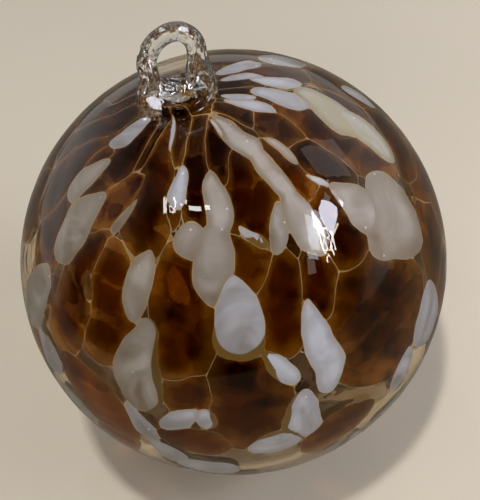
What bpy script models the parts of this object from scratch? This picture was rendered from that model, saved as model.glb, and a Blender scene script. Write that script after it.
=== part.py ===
"""Blown glass ball ornament: a round ball with a low neck, and a clear hanging loop pulled over the neck.

Metres, +Z up. The origin is the centre of the small flat spot that the ball rests on. +Z runs up the
ball's own axis, through the neck and the loop. The loop's eye goes through along Y.
"""

import math

import bmesh
import bpy

# The ball
BALL_DIAMETER = 0.100
REST_FLAT_DIAMETER = 0.016

# The neck, where the ball was cut from the blowpipe. Its rise is measured from the ball's round crown.
NECK_DIAMETER = 0.0104
NECK_RISE = 0.0019
NECK_FILLET = 0.0013
NECK_EDGE_ROUND = 0.0007

# The hanging loop. Its heights are measured from the neck's top.
LOOP_ROD_DIAMETER = 0.0040
LOOP_EYE_WIDTH = 0.0061
LOOP_EYE_HEIGHT = 0.0081
LOOP_ARCH_RISE = 0.0056
LOOP_APEX_SHIFT = 0.0011
LOOP_EYE_OFFSET = 0.0003

# The post where the loop's glass was dropped on the neck (right)
POST_DIAMETER = 0.0057
POST_HEIGHT = 0.0055
POST_INSET = 0.0006
POST_FORWARD_SET = 0.0006

# The foot where its end was pressed down (left)
FOOT_DIAMETER = 0.0060
FOOT_HEIGHT = 0.0072
FOOT_SPREAD = 0.0014

# The bridge of glass that joins them over the neck. Its top is the round bottom of the eye.
BRIDGE_THICKNESS = 0.0038
BRIDGE_DIP = 0.0026
BRIDGE_LEDGE = 0.0015
BRIDGE_END_WIDTH = 0.0030

# Room between the two solids
SEAT_GAP = 0.0003

# Facets
BALL_SIDES = 72
BALL_ROWS = 34
FILLET_ROWS = 5
EDGE_ROWS = 3
ROD_SIDES = 24
ARCH_ROWS = 20
LEG_ROWS = 12
BRIDGE_SIDES = 36
BRIDGE_ROWS = 14

BALL_RADIUS = BALL_DIAMETER / 2
REST_RADIUS = REST_FLAT_DIAMETER / 2
BALL_CENTRE = math.sqrt(BALL_RADIUS**2 - REST_RADIUS**2)
CROWN = BALL_CENTRE + BALL_RADIUS
NECK_TOP = CROWN + NECK_RISE
ROD_RADIUS = LOOP_ROD_DIAMETER / 2
HALF_SPAN = LOOP_EYE_WIDTH / 2 + ROD_RADIUS

CLEAR_GLASS = (0.90, 0.91, 0.90, 1.0)
AMBER_GLASS = (0.30, 0.13, 0.05, 1.0)


def smooth_step(share):
    """Eases a share from 0 to 1, flat at both ends."""
    share = min(max(share, 0.0), 1.0)
    return share * share * (3 - 2 * share)


def arc(centre_r, centre_z, radius, start, end, rows):
    """Points of an arc in the profile plane. Angles are in radians, from the +R direction towards +Z."""
    angles = [start + (end - start) * i / rows for i in range(rows + 1)]
    return [(centre_r + radius * math.cos(a), centre_z + radius * math.sin(a)) for a in angles]


def ball_profile(grow=0.0):
    """The ball's outline from the rest flat's rim to the neck's top, each face moved out by grow."""
    radius = BALL_RADIUS + grow
    neck = NECK_DIAMETER / 2 + grow
    edge = min(NECK_EDGE_ROUND, NECK_RISE / 2) + grow
    # The neck's upright wall ends this far above the ball's round crown
    wall = NECK_TOP + grow - edge - BALL_CENTRE - radius
    # The fillet touches the ball and the upright wall, so the wall's height limits it
    most = (2 * radius * wall + wall**2 + neck**2) / (2 * (radius - neck))
    fillet = min(NECK_FILLET - grow, most)
    fillet_r = neck + fillet
    fillet_z = math.sqrt((radius + fillet) ** 2 - fillet_r**2)
    touch = math.atan2(fillet_z, fillet_r)
    rest = -math.atan2(math.sqrt(radius**2 - REST_RADIUS**2), REST_RADIUS)
    points = arc(0.0, BALL_CENTRE, radius, rest, touch, BALL_ROWS)
    points += arc(fillet_r, BALL_CENTRE + fillet_z, fillet, touch - math.pi, -math.pi, FILLET_ROWS)[1:]
    points += arc(neck - edge, NECK_TOP + grow - edge, edge, 0.0, math.pi / 2, EDGE_ROWS)
    return points


def skin(name, rings):
    """A closed mesh over rings of points, with a flat face on each end."""
    mesh = bpy.data.meshes.new(name)
    work = bmesh.new()
    rows = [[work.verts.new(point) for point in ring] for ring in rings]
    sides = len(rings[0])
    for low, high in zip(rows, rows[1:]):
        for i in range(sides):
            j = (i + 1) % sides
            work.faces.new((low[i], low[j], high[j], high[i]))
    work.faces.new(list(reversed(rows[0])))
    work.faces.new(rows[-1])
    bmesh.ops.recalc_face_normals(work, faces=work.faces)
    work.to_mesh(mesh)
    work.free()
    mesh.shade_smooth()
    mesh.set_sharp_from_angle(angle=math.radians(40))
    made = bpy.data.objects.new(name, mesh)
    bpy.context.scene.collection.objects.link(made)
    return made


def turned(name, profile):
    """A solid turned about Z from a profile that runs from its lower rim to its upper rim."""
    rings = []
    for r, z in profile:
        turn = [2 * math.pi * i / BALL_SIDES for i in range(BALL_SIDES)]
        rings.append([(r * math.cos(a), r * math.sin(a), z) for a in turn])
    return skin(name, rings)


def loop_route():
    """The loop's rod from its left foot over the arch and down the right post, as (x, y, z, radius)."""
    spring = BRIDGE_THICKNESS + LOOP_EYE_HEIGHT + ROD_RADIUS - LOOP_ARCH_RISE
    # Both legs run down past the ball's shoulder, where the seat is cut
    reach = LOOP_EYE_OFFSET + HALF_SPAN + FOOT_SPREAD + max(FOOT_DIAMETER, POST_DIAMETER) / 2
    foot = -NECK_RISE - ROD_RADIUS - (BALL_RADIUS - math.sqrt(BALL_RADIUS**2 - reach**2))
    post_x = LOOP_EYE_OFFSET + HALF_SPAN
    route = []
    for i in range(LEG_ROWS):
        height = foot + (spring - foot) * i / LEG_ROWS
        flare = 1 - smooth_step(height / FOOT_HEIGHT)
        x = LOOP_EYE_OFFSET - HALF_SPAN - FOOT_SPREAD * flare
        radius = ROD_RADIUS + (FOOT_DIAMETER / 2 - ROD_RADIUS) * flare
        route.append((x, 0.0, height, radius))
    for i in range(ARCH_ROWS + 1):
        turn = math.pi * (1 - i / ARCH_ROWS)
        x = LOOP_EYE_OFFSET + HALF_SPAN * math.cos(turn) + LOOP_APEX_SHIFT * math.sin(turn)
        route.append((x, 0.0, spring + LOOP_ARCH_RISE * math.sin(turn), ROD_RADIUS))
    for i in range(1, LEG_ROWS + 1):
        height = spring + (foot - spring) * i / LEG_ROWS
        swell = 1 - smooth_step((height - POST_HEIGHT + ROD_RADIUS) / (2 * ROD_RADIUS))
        radius = ROD_RADIUS + (POST_DIAMETER / 2 - ROD_RADIUS) * swell
        route.append((post_x - POST_INSET * swell, -POST_FORWARD_SET * swell, height, radius))
    return route


def rod_along(name, route):
    """A round rod along a route near the XZ plane, with each ring square to the route."""
    rings = []
    for i, (x, y, z, radius) in enumerate(route):
        before = route[max(i - 1, 0)]
        after = route[min(i + 1, len(route) - 1)]
        way_x = after[0] - before[0]
        way_z = after[2] - before[2]
        length = math.hypot(way_x, way_z)
        side_x = way_z / length
        side_z = -way_x / length
        ring = []
        for k in range(ROD_SIDES):
            a = 2 * math.pi * k / ROD_SIDES
            out = radius * math.cos(a)
            ring.append((x + side_x * out, y + radius * math.sin(a), NECK_TOP + z + side_z * out))
        rings.append(ring)
    return skin(name, rings)


def bridge(name):
    """The glass between the legs, over the neck, with oval sections along X and a dip in its top."""
    half_length = LOOP_EYE_WIDTH / 2 + ROD_RADIUS / 2
    middle = NECK_DIAMETER / 2 - BRIDGE_LEDGE
    low = CROWN - ROD_RADIUS
    rings = []
    for i in range(BRIDGE_ROWS + 1):
        turn = math.pi * (i / BRIDGE_ROWS - 0.5)
        x = LOOP_EYE_OFFSET + half_length * math.sin(turn)
        high = NECK_TOP + BRIDGE_THICKNESS + BRIDGE_DIP * (1 - math.cos(turn))
        half_width = BRIDGE_END_WIDTH / 2 + (middle - BRIDGE_END_WIDTH / 2) * math.cos(turn)
        ring = []
        for k in range(BRIDGE_SIDES):
            a = 2 * math.pi * k / BRIDGE_SIDES
            z = (high + low) / 2 + (high - low) / 2 * math.sin(a)
            ring.append((x, half_width * math.cos(a), z))
        rings.append(ring)
    return skin(name, rings)


def as_cutter(made):
    """Marks an object as a shape that only cuts or joins another."""
    made.hide_render = True
    made.display_type = "WIRE"
    return made


def combine(made, other, operation):
    """Joins another closed mesh to an object, or cuts it away."""
    step = made.modifiers.new(operation.lower(), "BOOLEAN")
    step.operation = operation
    step.solver = "EXACT"
    step.object = as_cutter(other)


def glass(name, colour, roughness):
    """A plain glass material in one colour."""
    material = bpy.data.materials.new(name)
    material.use_nodes = True
    shader = material.node_tree.nodes["Principled BSDF"]
    shader.inputs["Base Color"].default_value = colour
    shader.inputs["Roughness"].default_value = roughness
    shader.inputs["Metallic"].default_value = 0.0
    shader.inputs["Transmission Weight"].default_value = 0.6
    shader.inputs["IOR"].default_value = 1.5
    return material


def make_ball():
    """The blown ball, sealed, so it is solid here, with the rest flat below and the neck on top."""
    ball = turned("ball", ball_profile())
    ball.data.materials.append(glass("amber_and_opal_glass", AMBER_GLASS, 0.05))


def make_hanging_loop():
    """The clear glass loop, seated on the ball's neck and shoulder with a small gap all round."""
    loop = rod_along("hanging_loop", loop_route())
    combine(loop, bridge("bridge_shape"), "UNION")
    combine(loop, turned("seat_shape", ball_profile(SEAT_GAP)), "DIFFERENCE")
    loop.data.materials.append(glass("clear_glass", CLEAR_GLASS, 0.02))


for old in list(bpy.data.objects):
    bpy.data.objects.remove(old)
make_ball()
make_hanging_loop()
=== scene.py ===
import random
from math import acos, atan2, cos, exp, hypot, pi, radians, sin, sqrt

import bpy
import numpy as np
from mathutils import Matrix, Vector
from numpy.linalg import norm


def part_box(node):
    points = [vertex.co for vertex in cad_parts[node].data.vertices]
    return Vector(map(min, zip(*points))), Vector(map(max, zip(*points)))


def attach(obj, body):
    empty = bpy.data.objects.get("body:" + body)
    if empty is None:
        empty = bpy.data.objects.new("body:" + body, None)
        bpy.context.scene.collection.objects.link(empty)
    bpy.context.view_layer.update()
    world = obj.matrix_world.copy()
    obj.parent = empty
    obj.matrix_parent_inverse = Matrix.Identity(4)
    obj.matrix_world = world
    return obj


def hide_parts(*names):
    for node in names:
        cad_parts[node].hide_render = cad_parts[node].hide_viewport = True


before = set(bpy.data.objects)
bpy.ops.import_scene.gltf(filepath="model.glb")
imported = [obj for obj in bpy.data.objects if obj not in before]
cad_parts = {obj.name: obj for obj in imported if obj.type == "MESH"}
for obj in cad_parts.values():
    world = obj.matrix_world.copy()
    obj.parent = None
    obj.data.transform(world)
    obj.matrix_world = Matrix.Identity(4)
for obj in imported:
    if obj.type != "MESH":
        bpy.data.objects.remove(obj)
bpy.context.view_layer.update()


# Camera
# The ball is seen from above its shoulder, its own axis leaning to the left. The camera comes first, because
# the chips further down are placed where the picture shows them.
MM = 0.001
PICTURE_WIDTH = 480
PICTURE_HEIGHT = 500
BALL_IN_PICTURE = (233.5, 262.0)
BALL_RADIUS_IN_PICTURE = 213.5
CAMERA_ELEVATION = radians(47.0)
CAMERA_ROLL = radians(17.4)
CAMERA_DISTANCE_IN_RADII = 4.5
SENSOR = 36.0
LIMB = 0.995

ball_low, ball_high = (np.array(corner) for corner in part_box("ball"))
BALL_RADIUS = float(ball_high[0] - ball_low[0]) / 2
REST_FLAT_RADIUS = 8.0 * MM
ball_centre = np.array([0.0, 0.0, sqrt(BALL_RADIUS**2 - REST_FLAT_RADIUS**2)])

focal_in_pixels = BALL_RADIUS_IN_PICTURE * sqrt(CAMERA_DISTANCE_IN_RADII**2 - 1)
camera_back = np.array([0.0, -cos(CAMERA_ELEVATION), sin(CAMERA_ELEVATION)])
level_up = np.array([0.0, sin(CAMERA_ELEVATION), cos(CAMERA_ELEVATION)])
camera_right = np.array([cos(CAMERA_ROLL), 0, 0]) - level_up * sin(CAMERA_ROLL)
camera_up = level_up * cos(CAMERA_ROLL) + np.array([sin(CAMERA_ROLL), 0, 0])
camera_place = ball_centre + camera_back * BALL_RADIUS * CAMERA_DISTANCE_IN_RADII

camera_data = bpy.data.cameras.new("camera")
camera_data.sensor_width = SENSOR
camera_data.lens = focal_in_pixels * SENSOR / PICTURE_HEIGHT
camera_data.shift_x = (PICTURE_WIDTH / 2 - BALL_IN_PICTURE[0]) / PICTURE_HEIGHT
camera_data.shift_y = (BALL_IN_PICTURE[1] - PICTURE_HEIGHT / 2) / PICTURE_HEIGHT
camera_data.clip_start = 10 * MM


def new_object(name, data):
    """An object over a mesh, a lamp or a camera, put in the scene."""
    made = bpy.data.objects.new(name, data)
    bpy.context.scene.collection.objects.link(made)
    return made


camera = new_object("camera", camera_data)
turn = Matrix([camera_right, camera_up, camera_back]).transposed().to_4x4()
camera.matrix_world = Matrix.Translation(Vector(camera_place)) @ turn
bpy.context.scene.camera = camera


def on_ball(x, y):
    """The direction from the ball's centre to the point of its skin that the picture shows at x, y."""
    across = x - BALL_IN_PICTURE[0]
    down = y - BALL_IN_PICTURE[1]
    inward = min(1.0, LIMB * BALL_RADIUS_IN_PICTURE / max(hypot(across, down), 1e-6))
    ray = camera_right * across * inward - camera_up * down * inward - camera_back * focal_in_pixels
    ray /= norm(ray)
    start = camera_place - ball_centre
    along = -start @ ray
    depth = BALL_RADIUS**2 - (start @ start - along**2)
    hit = start + ray * (along - sqrt(max(depth, 0.0)))
    return hit / norm(hit)


def mirrored(x, y):
    """The way in which the ball's skin, where the picture shows it at x, y, mirrors the camera's sight."""
    normal = on_ball(x, y)
    sight = ball_centre + normal * BALL_RADIUS - camera_place
    sight /= norm(sight)
    return sight - 2 * (sight @ normal) * normal


# Blown ball
# One bubble of glass. The hot gather was rolled in coarse chips of amber-brown and white glass, cased in
# clear and blown, so the chips lie in the wall as flat leaves, drawn out towards the neck where it left
# the blowpipe.
WALL = 2.1 * MM
CHIP_MARGIN = 1.6 * MM
LEAF_POWER = 1.95
LEAF_TAPER = 0.22
TAPER_REACH = 1.3
# The lighter amber glass is amber with a painted glow, set where light coming through the ball makes the
# amber shine
CLEAR, AMBER, PAINTED_GLOW_AMBER, OPAL, THIN, SAGE = range(6)
STIFFNESS = np.array([8.0, 1.0, 7.0, 10.0, 8.0, 8.0])
GROOVE_DEPTH = 0.045 * MM
GROOVE_WIDTH = 0.6 * MM
SWELL_DEPTH = 0.035 * MM
COLUMNS = 350
ROWS = 150
FLAT_ROWS = 7
NECK_RADIUS = 5.2 * MM
NECK_FILLET = 1.3 * MM
NECK_EDGE = 0.7 * MM
FILLET_ROWS = 6
NECK_ROWS = 5
OUTER_RADIUS = BALL_RADIUS - 0.02 * MM

# Each chip as the picture shows it: its glass, the x and y of the end nearest the neck and of its far end,
# and its greatest width, in pixels. Then its tone: from 0 light to 1 dark and more in amber, from 0 dense to
# 1 thin in opal. A letter names the side where amber laps over it, and + says that it runs on from the last.
SHOWN_CHIPS = [
    (AMBER, 143, 85, 104, 97, 20, 1.0), (AMBER, 141, 93, 72, 128, 14, 1.05),
    (AMBER, 139, 106, 56, 158, 15, 1.05), (AMBER, 106, 84, 62, 122, 18, 0.75),
    (AMBER, 84, 110, 46, 172, 15, 0.7), (AMBER, 52, 160, 27, 236, 16, 0.6),
    (AMBER, 100, 140, 36, 218, 22, 0.75), (OPAL, 149, 117, 106, 146, 13, 0.55),
    (AMBER, 112, 149, 82, 172, 13, 0.6), (AMBER, 152, 121, 86, 193, 24, 0.95),
    (AMBER, 163, 119, 139, 165, 10, 1.3), (AMBER, 145, 168, 96, 232, 26, 0.45),
    (THIN, 106, 159, 67, 202, 17, 0.6), (THIN, 106, 193, 57, 262, 33, 0.75),
    (AMBER, 66, 202, 40, 268, 22, 0.45), (CLEAR, 34, 232, 25, 272, 9, 0.0),
    (THIN, 48, 262, 33, 326, 20, 0.55), (AMBER, 110, 230, 62, 345, 34, 0.45),
    (THIN, 136, 196, 119, 234, 8, 0.9), (AMBER, 165, 125, 147, 250, 40, 0.8),
    (OPAL, 169, 120, 168, 150, 5, 0.3), (AMBER, 178, 112, 174, 168, 18, 2.2),
    (AMBER, 176, 165, 168, 222, 10, 0.8), (AMBER, 194, 112, 198, 226, 24, 1.8),
    (OPAL, 183, 165, 175, 213, 19, 0.1), (AMBER, 205, 116, 226, 184, 26, 1.8),
    (THIN, 209, 166, 222, 240, 27, 0.15), (THIN, 220, 215, 211, 311, 42, 0.5, "+"),
    (THIN, 188, 224, 197, 263, 36, 0.6, "+"), (AMBER, 228, 146, 266, 247, 48, 0.65),
    (THIN, 206, 113, 264, 160, 20, 0.0), (THIN, 246, 142, 298, 206, 21, 0.2, "+"),
    (THIN, 284, 188, 320, 262, 30, 0.45, "+"), (OPAL, 204, 116, 221, 131, 6, 0.1),
    (OPAL, 238, 221, 268, 247, 12, 0.3, "s"), (AMBER, 238, 232, 256, 283, 36, 0.5),
    (THIN, 278, 203, 279, 258, 18, 0.6), (AMBER, 262, 142, 314, 198, 22, 0.6),
    (AMBER, 212, 106, 252, 123, 9, 1.6), (AMBER, 213, 113, 249, 133, 9, 1.6),
    (AMBER, 250, 118, 302, 138, 25, 0.75), (THIN, 262, 138, 304, 166, 9, 0.3),
    (OPAL, 222, 98, 270, 112, 9, 0.2), (AMBER, 219, 84, 256, 81, 7, 1.9),
    (AMBER, 219, 90, 250, 89, 6, 1.9), (OPAL, 217, 72, 258, 62, 9, 0.55),
    (OPAL, 220, 78, 262, 75, 6, 0.45), (OPAL, 220, 93, 252, 97, 6, 0.3),
    (AMBER, 206, 60, 252, 52, 13, 0.8), (AMBER, 246, 71, 314, 75, 12, 0.6),
    (OPAL, 250, 79, 298, 82, 10, 0.3), (OPAL, 254, 57, 306, 65, 9, 0.65),
    (OPAL, 250, 90, 306, 104, 17, 0.6), (AMBER, 274, 105, 396, 178, 38, 0.45),
    (AMBER, 297, 142, 354, 180, 30, 0.9), (SAGE, 294, 86, 362, 142, 27, 0.45),
    (SAGE, 326, 108, 393, 160, 23, 0.1, "+"), (AMBER, 305, 72, 370, 103, 17, 0.6),
    (AMBER, 330, 95, 372, 128, 15, 0.65), (OPAL, 343, 90, 371, 102, 7, 0.3),
    (AMBER, 372, 108, 420, 178, 22, 0.8), (AMBER, 398, 130, 440, 230, 20, 0.7),
    (OPAL, 312, 177, 330, 184, 6, 0.2), (THIN, 332, 182, 374, 226, 33, 0.05),
    (THIN, 384, 174, 400, 264, 57, 0.4, "+"), (AMBER, 425, 180, 433, 282, 22, 0.75),
    (AMBER, 316, 194, 362, 270, 40, 0.75), (AMBER, 370, 240, 376, 378, 92, 0.8),
    (AMBER, 312, 262, 336, 320, 40, 0.7), (OPAL, 311, 297, 329, 394, 33, 0.15),
    (OPAL, 266, 346, 290, 383, 24, 0.2, "w"), (OPAL, 300, 389, 302, 437, 37, 0.45, "w"),
    (OPAL, 430, 281, 424, 348, 18, 0.5), (AMBER, 442, 240, 441, 310, 9, 0.6),
    (THIN, 408, 390, 376, 424, 12, 0.9), (OPAL, 412, 344, 393, 387, 11, 0.4),
    (PAINTED_GLOW_AMBER, 372, 402, 300, 450, 24, 0.8), (AMBER, 178, 250, 190, 385, 60, 0.5),
    (PAINTED_GLOW_AMBER, 172, 268, 186, 316, 24, 0.68, "+"), (THIN, 150, 245, 127, 322, 26, 0.45),
    (THIN, 146, 320, 139, 409, 50, 0.5, "e"), (OPAL, 237, 280, 244, 362, 52, 0.65, "s"),
    (AMBER, 281, 262, 286, 348, 42, 0.45), (AMBER, 236, 352, 252, 448, 84, 0.62),
    (AMBER, 192, 360, 188, 412, 44, 0.5), (AMBER, 116, 246, 102, 362, 50, 0.35),
    (CLEAR, 90, 274, 82, 302, 13, 0.0), (PAINTED_GLOW_AMBER, 64, 348, 137, 442, 30, 0.55),
    (OPAL, 40, 330, 60, 374, 12, 0.6), (PAINTED_GLOW_AMBER, 32, 320, 48, 360, 9, 0.6),
    (THIN, 64, 384, 92, 424, 12, 0.8), (PAINTED_GLOW_AMBER, 96, 420, 140, 452, 12, 0.6),
    (OPAL, 193, 407, 165, 428, 19, 0.35), (OPAL, 196, 408, 212, 428, 15, 0.35, "e"),
    (OPAL, 129, 406, 157, 440, 15, 0.6), (OPAL, 150, 436, 188, 463, 10, 0.6, "+"),
    (OPAL, 180, 458, 238, 472, 12, 0.6, "+"), (PAINTED_GLOW_AMBER, 160, 428, 228, 448, 24, 0.75),
    (OPAL, 246, 453, 297, 433, 19, 0.45, "n"),
]
VEIL_SIDES = {"n": (0, -1), "s": (0, 1), "e": (1, 0), "w": (-1, 0)}
VEIL_WIDTH = 1.9 * MM
LEAST_HALF_WIDTH = 0.3 * MM


def leaf(glass, head, foot, half_width, tone, body, veil=(0.0, 0.0, 0.0)):
    """One chip as a leaf on the skin, from the directions of its two ends."""
    middle = head + foot
    middle /= norm(middle)
    axis = foot - head
    axis -= middle * (axis @ middle)
    axis /= norm(axis)
    half_length = acos(max(-1.0, min(1.0, head @ foot))) * BALL_RADIUS / 2
    return glass, middle, axis, half_length, half_width, tone, body, np.array(veil)


leaves = []
for glass, head_x, head_y, foot_x, foot_y, width, tone, *side in SHOWN_CHIPS:
    length = hypot(foot_x - head_x, foot_y - head_y)
    half_x = (head_y - foot_y) / length * width / 2
    half_y = (foot_x - head_x) / length * width / 2
    middle_x = (head_x + foot_x) / 2
    middle_y = (head_y + foot_y) / 2
    one = on_ball(middle_x + half_x, middle_y + half_y)
    other = on_ball(middle_x - half_x, middle_y - half_y)
    half_width = max(acos(min(1.0, one @ other)) * BALL_RADIUS / 2, LEAST_HALF_WIDTH)
    lip_x, lip_y = VEIL_SIDES.get("".join(side), (0, 0))
    veil = camera_right * lip_x - camera_up * lip_y
    body = leaves[-1][6] if side == ["+"] else len(leaves)
    ends = on_ball(head_x, head_y), on_ball(foot_x, foot_y)
    leaves.append(leaf(glass, *ends, half_width, tone, body, veil))


def leaf_distance(points, which):
    """How far each direction lies outside its leaf's outline, below zero inside, times its stiffness.

    The stiff opal chips keep their shape, and the soft amber flows round them.
    """
    middle, axis, half_length, half_width = (leaf_values[name][which] for name in LEAF_NAMES)
    side = np.cross(middle, axis)
    along = np.arctan2((points * axis).sum(-1), (points * middle).sum(-1)) * BALL_RADIUS / half_length
    local_width = half_width * (1 + LEAF_TAPER * np.clip(along, -TAPER_REACH, TAPER_REACH))
    aside = np.arcsin(np.clip((points * side).sum(-1), -1, 1)) * BALL_RADIUS / local_width
    along = np.abs(along)
    aside = np.abs(aside)
    reach = (along**LEAF_POWER + aside**LEAF_POWER) ** (1 / LEAF_POWER) + 1e-9
    slope = np.sqrt(((along / reach) ** (LEAF_POWER - 1) / half_length) ** 2
                    + ((aside / reach) ** (LEAF_POWER - 1) / local_width) ** 2) + 1e-9
    return (reach - 1) / slope * leaf_values["stiffness"][which]


LEAF_NAMES = ("middle", "axis", "half_length", "half_width")


def columns_of(chosen):
    """The leaves' values as arrays, one row for each leaf."""
    values = {name: np.array([one[i + 1] for one in chosen]) for i, name in enumerate(LEAF_NAMES)}
    values["stiffness"] = STIFFNESS[[one[0] for one in chosen]]
    return values


# The neck itself is of the dark glass that all the chips run into
COLLAR_ANGLE = 0.085
COLLAR_TONE = 2.0
ends = [np.array([sin(COLLAR_ANGLE) * sign, 0.0, cos(COLLAR_ANGLE)]) for sign in (-1, 1)]
leaves.append(leaf(AMBER, *ends, COLLAR_ANGLE * BALL_RADIUS, COLLAR_TONE, len(leaves)))

# The rest of the skin, which the picture doesn't show, is strewn with more chips of the same sizes, in rings
# from the neck down. Angles are in radians, and chips near the neck are drawn out longer and narrower.
CHIP_PITCH = 9.5 * MM
HIDDEN_SHARES = ((AMBER, 0.60), (OPAL, 0.22), (THIN, 0.14), (CLEAR, 0.04))
FIRST_RING = 0.16
LAST_RING = pi - 0.05
DRAWN_REACH = 1.5
DRAWN_LONGER = 0.8
DRAWN_NARROWER = 0.45
DRAWN_STRAIGHTER = 0.6
RING_STEP = 0.235
AROUND_JITTER = 0.25
DOWN_JITTER = 0.09
HALF_LENGTHS = (0.09, 0.17)
LEAN_LIMIT = 0.35
HALF_WIDTHS = (2.4, 4.6)
HIDDEN_TONES = (0.25, 1.0)
SPARE_ROOM = 2.0 * MM
SHOWN_FROM = 0.25
UPWARD = np.array([0.0, 0.0, 1.0])
strewn = random.Random(11)
leaf_values = columns_of(leaves)
shown = np.arange(len(leaves))
to_camera = camera_place - ball_centre
to_camera /= norm(to_camera)
ring_angle = FIRST_RING
while ring_angle < LAST_RING:
    drawn = 1.0 - min(ring_angle / DRAWN_REACH, 1.0)
    ring_length = 2 * pi * sin(ring_angle) * BALL_RADIUS
    count = max(5, round(ring_length / (CHIP_PITCH * (1.05 - DRAWN_NARROWER * drawn))))
    start = strewn.random() * 2 * pi
    for i in range(count):
        around = start + 2 * pi * (i + strewn.uniform(-AROUND_JITTER, AROUND_JITTER)) / count
        down = ring_angle + strewn.uniform(-DOWN_JITTER, DOWN_JITTER)
        half_length = strewn.uniform(*HALF_LENGTHS) * (1 + DRAWN_LONGER * drawn)
        lean = strewn.uniform(-LEAN_LIMIT, LEAN_LIMIT) * (1 - DRAWN_STRAIGHTER * drawn)
        level = np.array([cos(around), sin(around), 0.0])
        east = np.array([-sin(around), cos(around), 0.0])
        place = level * sin(down) + UPWARD * cos(down)
        south = level * cos(down) - UPWARD * sin(down)
        way = south * cos(lean) + east * sin(lean)
        half_width = strewn.uniform(*HALF_WIDTHS) * MM * (1 - DRAWN_NARROWER * drawn)
        draw = strewn.random()
        tone = strewn.uniform(*HIDDEN_TONES)
        room = leaf_distance(place[None, :].repeat(len(shown), 0), shown).min()
        if room < SPARE_ROOM or place @ to_camera > SHOWN_FROM:
            continue
        for glass, share in HIDDEN_SHARES:
            draw -= share
            if draw < 0:
                break
        ends = [place * cos(half_length) + way * sin(half_length) * sign for sign in (-1, 1)]
        leaves.append(leaf(glass, *ends, half_width, tone if glass == AMBER else tone * 0.6, len(leaves)))
    ring_angle += RING_STEP + 0.10 * drawn
leaf_values = columns_of(leaves)
leaf_glass = np.array([one[0] for one in leaves] + [CLEAR])
leaf_tone = np.array([one[5] for one in leaves] + [0.0])
leaf_body = np.array([one[6] for one in leaves] + [len(leaves)])
leaf_veil = np.array([one[7] for one in leaves] + [np.zeros(3)])
leaf_stiffness = np.append(leaf_values["stiffness"], 1.0)
NO_LEAF = len(leaves)

# The waves in which the outlines of the chips wander: their number, reach and phase
WANDER_WAVES = ((14.0, 0.012, 0.3), (31.0, 0.004, 1.7), (67.0, 0.0012, 4.1))


def wander(points):
    """Lets the outlines of the chips wander a little, as melted glass does."""
    out = points.copy()
    for size, reach, phase in WANDER_WAVES:
        x, y, z = (out * size).T
        out = out + reach * np.stack([np.sin(y + phase) + np.sin(z * 1.3),
                                      np.sin(z + 2 * phase) + np.sin(x * 1.2),
                                      np.sin(x + 3 * phase) + np.sin(y * 1.4)], axis=1)
    return out / norm(out, axis=1, keepdims=True)


LEAF_SURROUND = 8 * MM
FAR_OFF = 50 * MM
EDGE_LIMIT = 5 * MM


def nearest_leaves(points):
    """For each direction the leaf that owns it, and how far it lies from the border with the next chip."""
    owner = np.full(len(points), NO_LEAF)
    first = np.full(len(points), CHIP_MARGIN)
    other = np.full(len(points), NO_LEAF)
    second = np.full(len(points), FAR_OFF)
    for i in range(NO_LEAF):
        span = leaf_values["half_length"][i] + leaf_values["half_width"][i] + LEAF_SURROUND
        near = np.nonzero(points @ leaf_values["middle"][i] > cos(min(span / BALL_RADIUS, 3.1)))[0]
        away = leaf_distance(points[near], np.full(len(near), i))
        wins = away < first[near]
        apart = leaf_body[owner[near]] != leaf_body[i]
        pushed = near[wins & apart]
        second[pushed] = first[pushed]
        other[pushed] = owner[pushed]
        closer = near[~wins & apart & (away < second[near])]
        second[closer] = away[~wins & apart & (away < second[near])]
        other[closer] = i
        owner[near[wins]] = i
        first[near[wins]] = away[wins]
    gap = (second - first) / (leaf_stiffness[owner] + leaf_stiffness[other])
    return owner, np.clip(gap, 0, EDGE_LIMIT)


def distance_to(points, which):
    """leaf_distance, where an owner may also be the bare clear glass."""
    real = which < NO_LEAF
    out = np.full(len(points), CHIP_MARGIN)
    out[real] = leaf_distance(points[real], which[real])
    return out


def arc(centre_r, centre_z, radius, start, end, rows):
    """Points of an arc in the profile plane. Angles run from the +R direction towards +Z."""
    angles = np.linspace(start, end, rows + 1)
    return [(centre_r + radius * cos(a), centre_z + radius * sin(a)) for a in angles]


def bands(first, rows, sides, crossed=False):
    """The triangles between rows of points, each row a ring. Crossed ones change their slant in turn."""
    here = np.arange(sides)
    there = (here + 1) % sides
    out = []
    for row in range(rows - 1):
        low = first + row * sides
        high = low + sides
        one, other = (there, here) if crossed and row % 2 == 0 else (here, there)
        out.append(np.column_stack([low + here, low + there, high + other]))
        out.append(np.column_stack([low + one, high + there, high + here]))
    return out


def turned_grid(profile, columns):
    """Points and triangles of a skin turned about Z, from a profile that runs up from axis to axis."""
    angles = 2 * pi * np.arange(columns) / columns
    ring = np.stack([np.cos(angles), np.sin(angles)], axis=1)
    points = [[[0.0, 0.0, profile[0][1]]]]
    for r, z in profile[1:-1]:
        points.append(np.column_stack([ring * r, np.full(columns, z)]))
    points.append([[0.0, 0.0, profile[-1][1]]])
    here = np.arange(columns)
    there = (here + 1) % columns
    rows = len(profile) - 2
    last = 1 + rows * columns
    triangles = [np.column_stack([np.zeros(columns, int), 1 + there, 1 + here])]
    triangles += bands(1, rows, columns, crossed=True)
    top = last - columns
    triangles.append(np.column_stack([top + here, top + there, np.full(columns, last)]))
    return np.concatenate(points), np.concatenate(triangles)


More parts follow.
